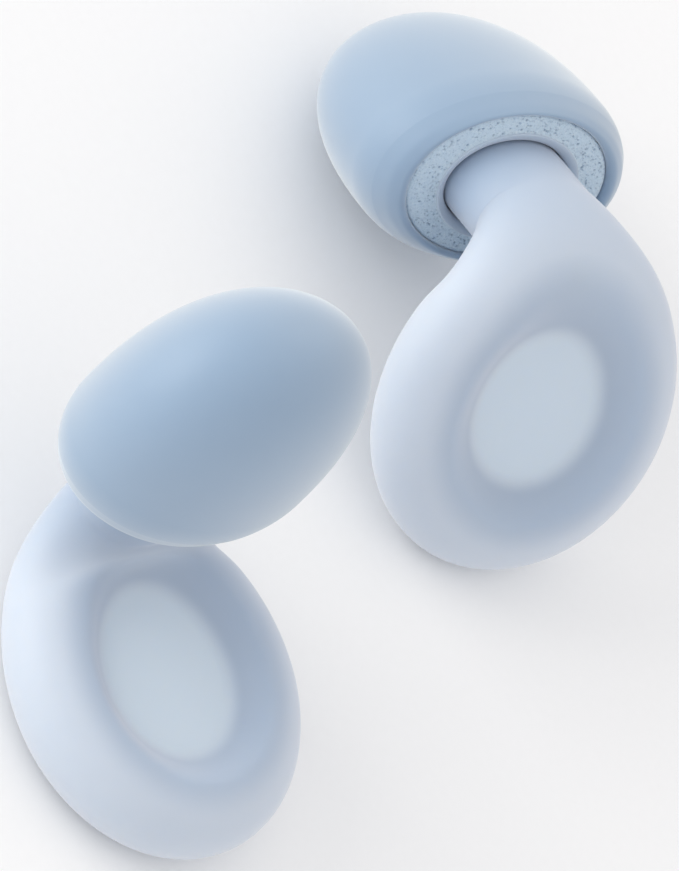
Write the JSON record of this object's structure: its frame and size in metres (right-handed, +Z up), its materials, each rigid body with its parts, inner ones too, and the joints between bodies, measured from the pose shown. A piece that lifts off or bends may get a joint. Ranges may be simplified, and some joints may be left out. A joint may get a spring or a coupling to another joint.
{
  "type": "foam ear plugs",
  "caption": "Pair of soft ear plugs, each a dished silicone paddle with a bent neck and an oval foam tip that pulls off.",
  "frame": {"origin": "on the table under the middle of the pair's box, at the lowest point of both plugs", "axes": "+Z up from the table, +Y along the longer side of the pair's box from the left plug to the right plug, X across it"},
  "size_m": [0.031, 0.0486, 0.02],
  "materials": {
    "paddle_silicone": "matte silicone, pale grey blue",
    "tip_silicone": "matte silicone skin, pale grey blue",
    "memory_foam": "fine-pored memory foam, pale blue",
    "sleeve_silicone": "smooth soft silicone, pale grey blue",
    "core_plastic": "satin moulded plastic, pale grey"
  },
  "bodies": {
    "left_paddle": {"left_paddle_body": "paddle_silicone", "left_stem_core": "core_plastic"},
    "left_tip": {"left_tip_skin": "tip_silicone", "left_tip_foam": "memory_foam", "left_tip_sleeve": "sleeve_silicone"},
    "right_tip": {"right_tip_skin": "tip_silicone", "right_tip_foam": "memory_foam", "right_tip_sleeve": "sleeve_silicone"},
    "right_paddle": {"right_paddle_body": "paddle_silicone", "right_stem_core": "core_plastic"}
  },
  "joints": [
    {"name": "left_tip_pull", "type": "slide", "parent": "left_paddle", "child": "left_tip", "axis": [-0.1855, 0.0449, 0.9816], "range_m": [0, 0.012]},
    {"name": "right_plug_lift", "type": "slide", "parent": "left_paddle", "child": "right_tip", "axis": [0, 0, 1], "range_m": [0, 0.03]},
    {"name": "right_tip_pull", "type": "slide", "parent": "right_tip", "child": "right_paddle", "axis": [0.7163, -0.4101, 0.5646], "range_m": [0, 0.012]}
  ]
}
